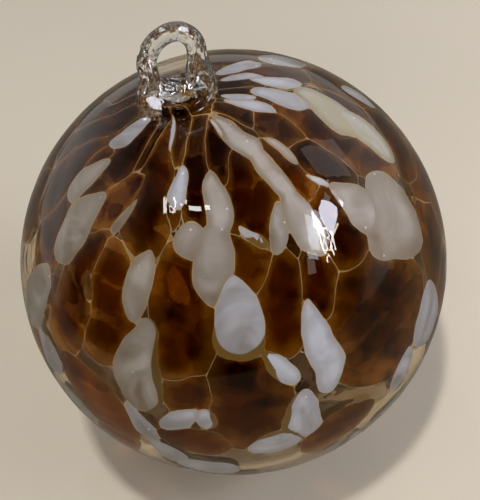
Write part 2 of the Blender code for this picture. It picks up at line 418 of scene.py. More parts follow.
crown = ball_centre[2] + OUTER_RADIUS
neck_top = float(ball_high[2]) - 0.02 * MM
fillet_r = NECK_RADIUS + NECK_FILLET
fillet_z = sqrt((OUTER_RADIUS + NECK_FILLET) ** 2 - fillet_r**2)
touch = atan2(fillet_z, fillet_r)
rest = -acos(REST_FLAT_RADIUS / OUTER_RADIUS)
profile = [(REST_FLAT_RADIUS * i / FLAT_ROWS, 0.0) for i in range(FLAT_ROWS)]
profile += arc(0.0, ball_centre[2], OUTER_RADIUS, rest, touch, ROWS)
profile += arc(fillet_r, ball_centre[2] + fillet_z, NECK_FILLET, touch - pi, -pi, FILLET_ROWS)[1:]
profile += arc(NECK_RADIUS - NECK_EDGE, neck_top - NECK_EDGE, NECK_EDGE, 0.0, pi / 2, NECK_ROWS)
profile += [((NECK_RADIUS - NECK_EDGE) * (1 - i / NECK_ROWS), neck_top) for i in range(1, NECK_ROWS + 1)]
profile = [(r, max(z, 0.0)) for r, z in profile]
points, triangles = turned_grid(profile, COLUMNS)


def skin_ways(points):
    """The direction in which the chip pattern is read at each point."""
    ways = points - ball_centre
    return wander(ways / norm(ways, axis=1, keepdims=True))


CUT_HALVINGS = 7
CUT_MARGIN = 0.02


def cut_along_chips(points, triangles):
    """Cuts the triangles that cross from one leaf into the next, so that each lies in one only.

    Gives points, triangles, each triangle's leaf, and which points lie on a seam between two chips.
    """
    ways = skin_ways(points)
    owner, _ = nearest_leaves(ways)
    edges = np.sort(np.concatenate([triangles[:, [i, (i + 1) % 3]] for i in range(3)]), axis=1)
    edges = np.unique(edges[owner[edges[:, 0]] != owner[edges[:, 1]]], axis=0)
    a, b = edges.T
    near = np.zeros(len(edges))
    far = np.ones(len(edges))
    for _ in range(CUT_HALVINGS):
        middle = (near + far) / 2
        between = skin_ways(points[a] * (1 - middle[:, None]) + points[b] * middle[:, None])
        past = distance_to(between, owner[b]) < distance_to(between, owner[a])
        far = np.where(past, middle, far)
        near = np.where(past, near, middle)
    share = np.clip((near + far) / 2, CUT_MARGIN, 1 - CUT_MARGIN)[:, None]
    crossings = points[a] * (1 - share) + points[b] * share
    crossing_of = {tuple(edge): len(points) + i for i, edge in enumerate(edges.tolist())}
    on_seam = [np.zeros(len(points), bool), leaf_body[owner[a]] != leaf_body[owner[b]]]
    round_part = np.abs(norm(points - ball_centre, axis=1) - OUTER_RADIUS) < 1e-6
    both = round_part[a] & round_part[b]
    away = crossings[both] - ball_centre
    crossings[both] = ball_centre + away / norm(away, axis=1, keepdims=True) * OUTER_RADIUS
    owners = owner[triangles]
    whole = (owners == owners[:, :1]).all(axis=1)
    new_points = [points, crossings]
    count = len(points) + len(crossings)
    made = [triangles[whole]]
    made_owner = [owner[triangles[whole, 0]]]
    cut = []
    cut_owner = []
    extra = []
    for corners, names in zip(triangles[~whole].tolist(), owners[~whole].tolist()):
        if len(set(names)) == 2:
            lone = [i for i in range(3) if names.count(names[i]) == 1][0]
            p, q, r = corners[lone], corners[(lone + 1) % 3], corners[(lone + 2) % 3]
            pq = crossing_of[(min(p, q), max(p, q))]
            pr = crossing_of[(min(p, r), max(p, r))]
            cut += [(p, pq, pr), (pq, q, r), (pq, r, pr)]
            cut_owner += [names[lone], names[(lone + 1) % 3], names[(lone + 1) % 3]]
        else:
            centre = count + len(extra)
            extra.append(sum(points[i] for i in corners) / 3)
            between = [crossing_of[tuple(sorted((corners[i], corners[(i + 1) % 3])))] for i in range(3)]
            for i in range(3):
                cut += [(corners[i], between[i], centre), (corners[i], centre, between[i - 1])]
                cut_owner += [names[i], names[i]]
    new_points.append(np.reshape(extra, (-1, 3)))
    on_seam.append(np.ones(len(extra), bool))
    made.append(np.array(cut))
    made_owner.append(np.array(cut_owner))
    return [np.concatenate(parts) for parts in (new_points, made, made_owner, on_seam)]


points, triangles, owner, on_seam = cut_along_chips(points, triangles)
ways = skin_ways(points)
edge_distance = nearest_leaves(ways)[1]
edge_distance[on_seam] = 0

# What changes within a chip is kept at its triangles' corners, so that it breaks off at the chip's border.
# Away from the neck opal grows thinner, and amber lighter with a broader edge.
OPAL_DRIFT = 0.18
AMBER_DRIFT = -0.12
DARKEST = 2.5
EDGE_SPARE = 0.5 * MM
EDGE_BROADER = 0.4
corner_ways = ways[triangles].reshape(-1, 3)
corner_owner = owner.repeat(3)
real = np.minimum(corner_owner, NO_LEAF - 1)
corner_edge = edge_distance[triangles].ravel()
from_middle = corner_ways - leaf_values["middle"][real]
along = (from_middle * leaf_values["axis"][real]).sum(1) * BALL_RADIUS / leaf_values["half_length"][real]
white = leaf_glass[corner_owner] > PAINTED_GLOW_AMBER
tone = np.clip(leaf_tone[corner_owner] + np.where(white, OPAL_DRIFT, AMBER_DRIFT) * along, 0, DARKEST)
half_width = leaf_values["half_width"][real] + EDGE_SPARE
nearer = np.where(white, 1, 1 - EDGE_BROADER * np.clip(along, -1, 1))
edge_share = np.clip(corner_edge / half_width * nearer, 0, 1)
from_middle /= norm(from_middle, axis=1, keepdims=True) + 1e-9
facing = np.clip((from_middle * leaf_veil[corner_owner]).sum(1), 0, 1)
veil = (VEIL_WIDTH * facing - corner_edge) / MM

# The chips stand a hair proud of the seams between them, and the whole skin swells and dips a little
NECK_FADE = 2 * MM
FLAT_FADE = 1.5 * MM
swell = np.sin(ways @ [9, 4, 3]) * np.sin(ways @ [-3, 8, 5] + 1) + 0.5 * np.sin(ways @ [17, -12, 9] + 2)
sunk = GROOVE_DEPTH * np.exp(-((edge_distance / GROOVE_WIDTH) ** 2)) + SWELL_DEPTH * (1 + swell / 1.5)
near_neck = np.clip((points[:, 2] - crown) / NECK_FADE + 1, 0, 1)
near_flat = np.clip(1 - points[:, 2] / FLAT_FADE, 0, 1)
inward = ball_centre - points
inward /= norm(inward, axis=1, keepdims=True)
points = points + inward * (sunk * (1 - near_neck) * (1 - near_flat))[:, None]

# Inside, the wall is smooth, and the hollow runs a little way up into the neck
INNER_COLUMNS = 110
INNER_ROWS = 56
BORE_RADIUS = 2.6 * MM
BORE_RISE = 1.6 * MM
inner_radius = BALL_RADIUS - WALL
inner_profile = []
for i in range(INNER_ROWS + 1):
    angle = pi * (i / INNER_ROWS)
    r = inner_radius * sin(angle)
    z = ball_centre[2] - inner_radius * cos(angle)
    bore = exp(-((r / BORE_RADIUS) ** 4)) if angle > pi / 2 else 0.0
    inner_profile.append((r, z + BORE_RISE * bore))
inner_points, inner_triangles = turned_grid(inner_profile, INNER_COLUMNS)
inner_triangles = inner_triangles[:, ::-1] + len(points)


def mesh_from(name, points, triangles):
    """A smooth mesh over points and triangles."""
    mesh = bpy.data.meshes.new(name)
    mesh.vertices.add(len(points))
    mesh.vertices.foreach_set("co", np.asarray(points, dtype=np.float32).ravel())
    mesh.loops.add(len(triangles) * 3)
    mesh.loops.foreach_set("vertex_index", np.asarray(triangles, dtype=np.int32).ravel())
    mesh.polygons.add(len(triangles))
    mesh.polygons.foreach_set("loop_start", np.arange(len(triangles), dtype=np.int32) * 3)
    mesh.update(calc_edges=True)
    mesh.validate()
    mesh.shade_smooth()
    return mesh


def store(mesh, name, domain, values):
    """Keeps one number for each point or corner, for the materials to read."""
    kept = mesh.attributes.new(name, "FLOAT", domain)
    kept.data.foreach_set("value", np.asarray(values, dtype=np.float32))


ball_mesh = mesh_from("ball_wall", np.concatenate([points, inner_points]),
                      np.concatenate([triangles, inner_triangles]))
inner_edge = np.full(len(inner_points), EDGE_LIMIT)
inner_corners = np.zeros(3 * len(inner_triangles))
store(ball_mesh, "edge_mm", "POINT", np.concatenate([edge_distance, inner_edge]) / MM)
store(ball_mesh, "edge_share", "CORNER", np.concatenate([edge_share, inner_corners + 1]))
store(ball_mesh, "veil_mm", "CORNER", np.concatenate([veil, inner_corners - 1]))
store(ball_mesh, "tone", "CORNER", np.concatenate([tone, inner_corners]))
ball_mesh.polygons.foreach_set(
    "material_index", np.concatenate([leaf_glass[owner], np.zeros(len(inner_triangles))]).astype(np.int32))
ball_wall = new_object("ball_wall", ball_mesh)


def new_material(name):
    """An empty material with its node tree."""
    material = bpy.data.materials.new(name)
    material.use_nodes = True
    material.node_tree.nodes.clear()
    return material, material.node_tree


def add(tree, kind, values=None, **settings):
    """A node with its settings, its inputs set to plain values or linked to sockets."""
    node = tree.nodes.new("ShaderNode" + kind)
    for name, value in settings.items():
        setattr(node, name, value)
    for name, value in (values or {}).items():
        if isinstance(value, bpy.types.NodeSocket):
            tree.links.new(value, node.inputs[name])
        else:
            node.inputs[name].default_value = value
    return node


def attribute(tree, name):
    """Reads one of the numbers kept on the mesh."""
    return add(tree, "Attribute", attribute_name=name).outputs["Fac"]


def smooth_range(tree, value, low, high):
    """0 below low, 1 above high, and smooth between."""
    node = add(tree, "MapRange", {"Value": value, "From Min": low, "From Max": high},
               interpolation_type="SMOOTHSTEP")
    return node.outputs["Result"]


def blend(tree, share, one, other):
    """Mixes two colours."""
    return add(tree, "Mix", {0: share, 6: one, 7: other}, data_type="RGBA").outputs[2]


def reckon(tree, operation, *values, **settings):
    """The result of one Math node."""
    return add(tree, "Math", dict(enumerate(values)), operation=operation, **settings).outputs[0]


def noise(tree, scale, detail, distortion=0.0):
    """Soft noise in the piece's own space."""
    return add(tree, "TexNoise", {"Vector": add(tree, "TexCoord").outputs["Object"], "Scale": scale,
                                  "Detail": detail, "Distortion": distortion}).outputs["Fac"]


def new_group(name, colours, numbers):
    """An empty shader node group with named colours and numbers in and one colour out."""
    group = bpy.data.node_groups.new(name, "ShaderNodeTree")
    for kind, names in (("NodeSocketColor", colours), ("NodeSocketFloat", numbers)):
        for socket in names:
            group.interface.new_socket(socket, in_out="INPUT", socket_type=kind)
    group.interface.new_socket("Color", in_out="OUTPUT", socket_type="NodeSocketColor")
    return group, group.nodes.new("NodeGroupInput").outputs


def give(group, colour):
    """Sends a colour out of a group."""
    group.links.new(colour, group.nodes.new("NodeGroupOutput").inputs["Color"])


def grouped(tree, group, values):
    """The colour that a node group gives in a material with its own values."""
    return add(tree, "Group", values, node_tree=group).outputs["Color"]


# The colour of melted glass: a bright seam, a thin edge, the body, and streaks drawn out in it
CLOUD_SCALE = 260.0
WISP_SCALE = 90.0
THREAD_SCALE = 170.0
EDGE_WAVER = 0.5
EDGE_DARKNESS = 0.65
SEAM_SWING = 2.6
SEAM_BREAK = -0.3
TONE_SPREAD = 2.4
melted, given = new_group("melted chip", ("Seam", "Edge", "Body", "Deep"),
                          ("Edge Distance", "Edge Share", "Tone", "Seam Width", "Edge Width"))
cloud = noise(melted, CLOUD_SCALE, 3.0)
wisp = noise(melted, WISP_SCALE, 2.0, 1.2)
thread = noise(melted, THREAD_SCALE, 1.0)
shift = reckon(melted, "MULTIPLY_ADD", cloud, EDGE_WAVER, -EDGE_WAVER / 2)
moved = reckon(melted, "ADD", given["Edge Share"], shift)
swing = reckon(melted, "MULTIPLY_ADD", thread, SEAM_SWING, SEAM_BREAK)
width = reckon(melted, "MULTIPLY", given["Seam Width"], swing)
past_seam = smooth_range(melted, given["Edge Distance"], 0.0, width)
past_edge = smooth_range(melted, moved, 0.0, given["Edge Width"])
spread = reckon(melted, "MULTIPLY_ADD", wisp, TONE_SPREAD, -TONE_SPREAD / 2)
deepness = reckon(melted, "ADD", given["Tone"], spread, use_clamp=True)
body = blend(melted, deepness, given["Body"], given["Deep"])
# A dark chip is dark nearly out to its seam
dimmed = reckon(melted, "MULTIPLY", deepness, EDGE_DARKNESS)
edge = blend(melted, dimmed, given["Edge"], body)
edged = blend(melted, past_edge, edge, body)
give(melted, blend(melted, past_seam, given["Seam"], edged))

# Tiny white seeds caught here and there in the opal, and the lip of amber that laps over its border
SEED_SCALE = 520.0
SEED_FROM = 0.80
LIP_FADE = 0.25
seeded, given = new_group("seeded opal", ("Opal", "Seed", "Lip"), ("Lip Reach",))
place = add(seeded, "TexCoord").outputs["Object"]
speck = add(seeded, "TexVoronoi", {"Vector": place, "Scale": SEED_SCALE}).outputs
round_seed = smooth_range(seeded, speck["Distance"], 0.16, 0.06)
pick = add(seeded, "SeparateColor", {"Color": speck["Color"]}).outputs[0]
some = reckon(seeded, "GREATER_THAN", pick, SEED_FROM)
seed = reckon(seeded, "MULTIPLY", round_seed, some)
opal = blend(seeded, seed, given["Opal"], given["Seed"])
lip = smooth_range(seeded, given["Lip Reach"], 0.0, LIP_FADE)
give(seeded, blend(seeded, lip, opal, given["Lip"]))

# Clear glass is a little thicker in one place than in another
clear_drift, given = new_group("clear drift", ("Thick", "Thin"), ("Scale",))
drift = noise(clear_drift, given["Scale"], 2.0)
give(clear_drift, blend(clear_drift, drift, given["Thick"], given["Thin"]))


def chip_colour(tree, seam, edge, body, deep, seam_width, edge_width):
    """The melted-chip colour with one glass's own values."""
    return grouped(tree, melted, {
        "Seam": seam, "Edge": edge, "Body": body, "Deep": deep, "Edge Distance": attribute(tree, "edge_mm"),
        "Edge Share": attribute(tree, "edge_share"), "Tone": attribute(tree, "tone"),
        "Seam Width": seam_width, "Edge Width": edge_width})


def clear_to_lamps(tree, shader, colour):
    """Lets lamp light through the glass, so that its shadow is tinted and not black."""
    through = add(tree, "BsdfTransparent", {"Color": colour})
    is_shadow = add(tree, "LightPath").outputs["Is Shadow Ray"]
    mix = add(tree, "MixShader", {0: is_shadow, 1: shader.outputs[0], 2: through.outputs[0]})
    add(tree, "OutputMaterial", {"Surface": mix.outputs[0]})


GLASS_INDEX = 1.5
FIRE_POLISH = 0.015
AMBER_SEAM_WIDTH = 0.105
AMBER_EDGE_WIDTH = 0.38
AMBER_CLEARNESS = 0.66
OPAL_SEAM_WIDTH = 0.15
OPAL_ROUGHNESS = 0.30
GOLD_SEAM = (0.44, 0.30, 0.14, 1)
OLIVE_LIP = (0.14, 0.075, 0.014, 1)
WHITE_SEED = (0.80, 0.82, 0.86, 1)


def amber_glass(name, seam, edge, body, deep):
    """Brown glass that light passes, and that scatters some of it."""
    material, tree = new_material(name)
    colour = chip_colour(tree, seam, edge, body, deep, AMBER_SEAM_WIDTH, AMBER_EDGE_WIDTH)
    shader = add(tree, "BsdfPrincipled", {
        "Base Color": colour, "Roughness": FIRE_POLISH, "IOR": GLASS_INDEX,
        "Transmission Weight": AMBER_CLEARNESS})
    clear_to_lamps(tree, shader, colour)
    return material


def opal_glass(name, edge, body, deep, clearness, edge_width):
    """Milky glass under a polished skin."""
    material, tree = new_material(name)
    colour = chip_colour(tree, GOLD_SEAM, edge, body, deep, OPAL_SEAM_WIDTH, edge_width)
    colour = grouped(tree, seeded, {"Opal": colour, "Seed": WHITE_SEED, "Lip": OLIVE_LIP,
                                    "Lip Reach": attribute(tree, "veil_mm")})
    shader = add(tree, "BsdfPrincipled", {
        "Base Color": colour, "Roughness": OPAL_ROUGHNESS, "IOR": GLASS_INDEX,
        "Transmission Weight": clearness, "Coat Weight": 1.0, "Coat Roughness": FIRE_POLISH,
        "Coat IOR": GLASS_INDEX})
    add(tree, "OutputMaterial", {"Surface": shader.outputs[0]})
    return material


CLEAR_DRIFT_SCALE = 120.0
CLEAR_POLISH = 0.01
NECK_STAIN = (0.50, 0.24, 0.06, 1)


def clear_glass(name, thick, thin, rim, rim_start, rim_end, index=GLASS_INDEX):
    """Clear glass, painted darker where it is seen edge on: a painted shade that outlines its edges and
    bumps.
    """
    material, tree = new_material(name)
    colour = grouped(tree, clear_drift, {"Thick": thick, "Thin": thin, "Scale": CLEAR_DRIFT_SCALE})
    # Painted shade: the colour turns to the given shade colour where the surface is seen edge on
    edge_on_shade = smooth_range(tree, add(tree, "LayerWeight").outputs["Facing"], rim_start, rim_end)
    colour = blend(tree, edge_on_shade, colour, rim)
    colour = blend(tree, attribute(tree, "stain"), colour, NECK_STAIN)
    shader = add(tree, "BsdfPrincipled", {
        "Base Color": colour, "Roughness": CLEAR_POLISH, "IOR": index, "Transmission Weight": 1.0})
    clear_to_lamps(tree, shader, colour)
    return material


# In the order of the glasses: clear, amber, lighter amber with painted glow, opal, thin opal and sage
for material in (
    # The clear casing turns a darker brown where it is seen edge on, at the ball's outline: painted shade
    clear_glass("clear_casing", (0.60, 0.44, 0.25, 1), (0.86, 0.75, 0.57, 1),
                (0.52, 0.44, 0.33, 1), 0.55, 0.92),
    amber_glass("amber_chip_glass", (0.62, 0.43, 0.23, 1), (0.26, 0.092, 0.010, 1),
                (0.120, 0.0250, 0.0024, 1), (0.017, 0.0042, 0.0014, 1)),
    # Lighter amber with a painted glow, for the chips where light through the ball makes the amber shine
    amber_glass("honey_chip_glass", (0.66, 0.46, 0.26, 1), (0.24, 0.11, 0.018, 1),
                (0.29, 0.066, 0.0060, 1), (0.095, 0.026, 0.0040, 1)),
    opal_glass("dense_opal_glass", (0.31, 0.30, 0.32, 1), (0.47, 0.48, 0.54, 1),
               (0.22, 0.20, 0.19, 1), 0.14, 0.55),
    opal_glass("thin_opal_glass", (0.27, 0.22, 0.165, 1), (0.52, 0.485, 0.455, 1),
               (0.22, 0.17, 0.12, 1), 0.38, 0.62),
    opal_glass("sage_opal_glass", (0.30, 0.26, 0.16, 1), (0.50, 0.50, 0.47, 1),
               (0.42, 0.37, 0.20, 1), 0.34, 0.50),
):
    ball_mesh.materials.append(material)
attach(ball_wall, "root")
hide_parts("ball")


# Hanging loop
# A bit of clear glass, dropped hot on the neck as a short post, drawn up and over and pressed down again on
# the other side as a foot. Its joints have melted round, and the pulled glass is ridged and lumpy.
ROD_RADIUS = 2.0 * MM
EYE_WIDTH = 6.1 * MM
EYE_HEIGHT = 8.1 * MM
EYE_OFFSET = 0.3 * MM
ARCH_RISE = 5.6 * MM
APEX_SHIFT = 1.1 * MM
POST_RADIUS = 2.85 * MM
POST_HEIGHT = 5.5 * MM
POST_INSET = 0.6 * MM
FOOT_RADIUS = 3.0 * MM
FOOT_HEIGHT = 7.2 * MM
FOOT_SPREAD = 1.4 * MM
LEG_LOW = -4.6 * MM
LEG_STEPS = 60
ARCH_STEPS = 100
CAD_NECK_TOP = float(ball_high[2])
HALF_SPAN = EYE_WIDTH / 2 + ROD_RADIUS


def eased(share):
    """Eases a share from 0 to 1, flat at both ends."""
    share = np.clip(share, 0, 1)
    return share * share * (3 - 2 * share)


def loop_route():
    """The middle line of the pulled glass and its radius, from the foot over the arch and down the post."""
    spring = BRIDGE_THICKNESS + EYE_HEIGHT + ROD_RADIUS - ARCH_RISE
    rise = np.linspace(LEG_LOW, spring, LEG_STEPS, endpoint=False)
    flare = 1 - eased(rise / FOOT_HEIGHT)
    foot = np.column_stack([EYE_OFFSET - HALF_SPAN - FOOT_SPREAD * flare, 0 * rise, rise,
                            ROD_RADIUS + (FOOT_RADIUS - ROD_RADIUS) * flare])
    turn = np.linspace(pi, 0, ARCH_STEPS)
    arch = np.column_stack([EYE_OFFSET + HALF_SPAN * np.cos(turn) + APEX_SHIFT * np.sin(turn), 0 * turn,
                            spring + ARCH_RISE * np.sin(turn), ROD_RADIUS + 0 * turn])
    fall = np.linspace(spring, LEG_LOW, LEG_STEPS + 1)[1:]
    swell = 1 - eased((fall - POST_HEIGHT + ROD_RADIUS) / (2 * ROD_RADIUS))
    post = np.column_stack([EYE_OFFSET + HALF_SPAN - POST_INSET * swell, -POST_INSET * swell, fall,
                            ROD_RADIUS + (POST_RADIUS - ROD_RADIUS) * swell])
    return np.concatenate([foot, arch, post]) + [0, 0, CAD_NECK_TOP, 0]


def closed_skin(name, rings):
    """A closed mesh over rings of points, with a fan of triangles on each end."""
    rings = np.asarray(rings)
    rows, sides = rings.shape[:2]
    ends = np.array([rings[0].mean(0), rings[-1].mean(0)])
    here = np.arange(sides)
    there = (here + 1) % sides
    triangles = [np.column_stack([there, here, np.full(sides, rows * sides)])] + bands(0, rows, sides)
    last = (rows - 1) * sides
    triangles.append(np.column_stack([last + here, last + there, np.full(sides, rows * sides + 1)]))
    return mesh_from(name, np.concatenate([rings.reshape(-1, 3), ends]), np.concatenate(triangles))


# Ridges run round the rod as waves: the height, how many there are round it and their twist for each mm. They
# lie on its faces, and the outline stays smooth.
RIDGE_WAVES = ((1.0, 3, 0.25), (0.7, 7, -0.35), (0.5, 12, 0.20), (0.4, 1, 0.9))
RIDGE_DEPTH = 0.16
RIDGE_SUM = 3.0
OUTLINE_SHARE = 0.12
ROD_TRIM = 0.99
ROD_SIDES = 96
BRIDGE_THICKNESS = 3.8 * MM
BRIDGE_DIP = 2.6 * MM
BRIDGE_HALF_WIDTH = 3.7 * MM
BRIDGE_END_HALF_WIDTH = 1.5 * MM
BRIDGE_STEPS = 40
route = loop_route()
way = np.gradient(route[:, :3], axis=0)
way[:, 1] = 0
way /= norm(way, axis=1, keepdims=True)
outward = np.column_stack([-way[:, 2], 0 * way[:, 0], way[:, 0]])
turn = 2 * pi * np.arange(ROD_SIDES) / ROD_SIDES
walk = np.cumsum(norm(np.gradient(route[:, :3], axis=0), axis=1)) / MM
ridges = sum(height * np.sin(count * turn[None, :] + twist * walk[:, None])
             for height, count, twist in RIDGE_WAVES) - 1.0
on_face = OUTLINE_SHARE + (1 - OUTLINE_SHARE) * np.sin(turn) ** 2
radius = route[:, 3:4] * (ROD_TRIM + RIDGE_DEPTH * ridges / RIDGE_SUM * on_face)
rod_rings = (route[:, None, :3] + outward[:, None, :] * (radius * np.cos(turn))[:, :, None]
             + np.array([0.0, 1.0, 0.0]) * (radius * np.sin(turn))[:, :, None])
bridge_rings = []
for step in np.linspace(-pi / 2, pi / 2, BRIDGE_STEPS):
    x = EYE_OFFSET + (EYE_WIDTH + ROD_RADIUS) / 2 * sin(step)
    high = CAD_NECK_TOP + BRIDGE_THICKNESS + BRIDGE_DIP * (1 - cos(step))
    low = crown - ROD_RADIUS
    half_width = BRIDGE_END_HALF_WIDTH + (BRIDGE_HALF_WIDTH - BRIDGE_END_HALF_WIDTH) * cos(step)
    bridge_rings.append(np.column_stack([np.full(ROD_SIDES, x), half_width * np.cos(turn),
                                         (high + low) / 2 + (high - low) / 2 * np.sin(turn)]))

# The seat is the ball's own shape, a hair larger
SEAT_GAP = 0.04 * MM
SEAT_COLUMNS = 128
seat_profile = [(r + SEAT_GAP * min(r / MM, 1), z + SEAT_GAP) for r, z in profile
                if z > ball_centre[2] and (r > 0 or z > crown)]
seat_points, seat_triangles = turned_grid([(0.0, ball_centre[2])] + seat_profile, SEAT_COLUMNS)
seat = new_object("seat_shape", mesh_from("seat_shape", seat_points, seat_triangles))
bridge = new_object("bridge_shape", closed_skin("bridge_shape", bridge_rings))
rough = new_object("rough_loop", closed_skin("hanging_loop_glass", rod_rings))


def modified(made, steps):
    """The mesh that an object's modifiers leave, made from (kind, settings) pairs."""
    for kind, settings in steps:
        step = made.modifiers.new(kind.lower(), kind)
        for name, value in settings.items():
            setattr(step, name, value)
    return bpy.data.meshes.new_from_object(made.evaluated_get(bpy.context.evaluated_depsgraph_get()))


LOOP_VOXEL = 0.125 * MM
loop_mesh = modified(rough, [
    ("BOOLEAN", {"operation": "UNION", "solver": "MANIFOLD", "object": bridge}),
    ("REMESH", {"mode": "VOXEL", "voxel_size": LOOP_VOXEL}),
    ("SMOOTH", {"factor": 0.5, "iterations": 4}),
    ("BOOLEAN", {"operation": "DIFFERENCE", "solver": "MANIFOLD", "object": seat}),
    ("TRIANGULATE", {}),
])
for made in (seat, bridge, rough):
    bpy.data.objects.remove(made)
loop_mesh.name = "hanging_loop_glass"


def taken(elements, name):
    """A vector value of each point or face of a mesh, as rows."""
    values = np.zeros(len(elements) * 3, dtype=np.float32)
    elements.foreach_get(name, values)
    return values.reshape(-1, 3).astype(float)


loop_points = taken(loop_mesh.vertices, "co")
loop_normals = taken(loop_mesh.vertex_normals, "vector")

# Creases of the pulled glass, on the faces that show and fading to the outline and the seat
CREASE_DEPTH = 0.30 * MM
CREASE_WAVES = (1.3, 1.9, 2.7, 4.1)
CREASE_BEND = 0.8
CREASE_DRIFT = 0.6
CREASE_SHARPNESS = 1.5
SEAT_CLEAR = 0.3 * MM
SEAT_FADE = 1.0 * MM
creased = random.Random(5)
creases = np.zeros(len(loop_points))
for wave_length in CREASE_WAVES:
    way = np.array([creased.gauss(0, 1) for _ in range(3)])
    way *= pi / (wave_length * MM * norm(way))
    bend = CREASE_BEND * np.sin(loop_points[:, ::-1] @ way * CREASE_DRIFT)
    wave = np.sin(loop_points @ way + bend + creased.uniform(0, 6))
    creases += np.abs(wave) ** CREASE_SHARPNESS - 1
off_ball = norm(loop_points - ball_centre, axis=1) - OUTER_RADIUS
off_seat = np.clip((off_ball - SEAT_CLEAR) / SEAT_FADE, 0, 1)
sideways = 1 - np.abs(loop_normals @ camera_back)
fade = (1 - sideways**2) * off_seat
loop_points += loop_normals * (CREASE_DEPTH * creases / 2 * fade)[:, None]

# The tool that pressed the hot glass down has left flat oval marks. For each: its middle in the picture, the
# spot of the ball that faces the same way, whether it mirrors the same lamp as that spot, and in mm how deep
# it is pressed, its half width and its half height
PRESSED_MARKS = (
    ((205, 86), (272, 330), False, 0.45, 1.7, 2.3),
    ((159, 103), (327, 216), True, 0.60, 2.5, 1.6),
    ((199, 80), (327, 216), True, 0.10, 0.55, 0.85),
    ((185, 28), (327, 216), True, 0.12, 1.2, 0.6),
    ((143, 53), (327, 216), True, 0.08, 0.35, 1.3),
    ((151, 64), (327, 216), True, 0.08, 0.45, 1.1),
)
LAMP_DISTANCE = 0.9
MARK_MIDDLE = 2.0
MARK_RIM = 1.15
MARK_FADE = 0.25
MARK_LIMIT = 2.8
MARK_FLATNESS = 0.95
for (mark_x, mark_y), faces, mirrors, inset, half_width, half_height in PRESSED_MARKS:
    sight = loop_points - camera_place
    depth = -sight @ camera_back
    seen_x = BALL_IN_PICTURE[0] + focal_in_pixels * (sight @ camera_right) / depth
    seen_y = BALL_IN_PICTURE[1] - focal_in_pixels * (sight @ camera_up) / depth
    near = np.hypot(seen_x - mark_x, seen_y - mark_y) < MARK_MIDDLE
    front = loop_points[near][np.argmin(depth[near])]
    facing_way = on_ball(*faces)
    if mirrors:
        to_lamp = ball_centre + facing_way * BALL_RADIUS + mirrored(*faces) * LAMP_DISTANCE - front
        to_eye = camera_place - front
        facing_way = to_lamp / norm(to_lamp) + to_eye / norm(to_eye)
        facing_way /= norm(facing_way)
    wide_way = camera_right - facing_way * (camera_right @ facing_way)
    wide_way /= norm(wide_way)
    high_way = np.cross(facing_way, wide_way)
    offset = (loop_points - front) / MM
    height = offset @ facing_way + inset
    spread = np.hypot(offset @ wide_way / half_width, offset @ high_way / half_height)
    pressed = eased((MARK_RIM - spread) / MARK_FADE) * (np.abs(height) < MARK_LIMIT)
    loop_points -= facing_way * (MARK_FLATNESS * MM * height * pressed)[:, None]
loop_mesh.vertices.foreach_set("co", loop_points.astype(np.float32).ravel())
loop_mesh.update()
loop_mesh.shade_smooth()

# The neck's brown glass was drawn up into the hot clear glass between the two feet, in streaks. Reaches and
# fades are in mm from a point a little to the right on the neck's top.
STAIN_SIDE = 1.0 * MM
STAIN_REACH = 2.9
STAIN_REACH_FADE = 1.4
STAIN_TOP = 4.3
STAIN_TOP_FADE = 2.4
STAIN_SHARE = 0.55
across, depth, rise = ((loop_points - [STAIN_SIDE, 0, CAD_NECK_TOP]) / MM).T
streaks = (np.sin(1.9 * across + 0.9 * rise) + 0.7 * np.sin(2.7 * rise - 1.3 * depth)
           + 0.5 * np.sin(4.1 * depth + across))
stain = eased((STAIN_REACH - np.abs(across)) / STAIN_REACH_FADE)
stain *= eased((STAIN_TOP - rise) / STAIN_TOP_FADE)
store(loop_mesh, "stain", "POINT", stain * eased(STAIN_SHARE + (1 - STAIN_SHARE) * streaks))
CLEAR_THICK = (0.90, 0.91, 0.90, 1)
CLEAR_THIN = (0.98, 0.98, 0.97, 1)
# The loop turns near-black where it is seen edge on: painted shade along its outline and ridges
PAINTED_DARK_OUTLINE = (0.04, 0.04, 0.04, 1)
loop_mesh.materials.clear()
loop_mesh.materials.append(clear_glass("clear_loop_glass", CLEAR_THICK, CLEAR_THIN, PAINTED_DARK_OUTLINE, 0.38, 0.78))

# Where the loop is fused to the ball the glass runs on, so light isn't bent there
loop_mesh.materials.append(
    clear_glass("fused_seat_glass", CLEAR_THICK, CLEAR_THIN, CLEAR_THIN, 0.5, 0.9, index=1.0))
middles = taken(loop_mesh.polygons, "center")
shoulder = norm(middles - ball_centre, axis=1) < OUTER_RADIUS + 2 * SEAT_GAP
flank = np.hypot(middles[:, 0], middles[:, 1])
profile_r, profile_z = np.array(profile[-FILLET_ROWS - 2 * NECK_ROWS:][::-1]).T
on_neck = (flank < fillet_r) & (middles[:, 2] < np.interp(flank, profile_r, profile_z) + 3 * SEAT_GAP)
loop_mesh.polygons.foreach_set("material_index", (shoulder | on_neck).astype(np.int32))
hanging_loop = new_object("hanging_loop_glass", loop_mesh)
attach(hanging_loop, "root")
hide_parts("hanging_loop")


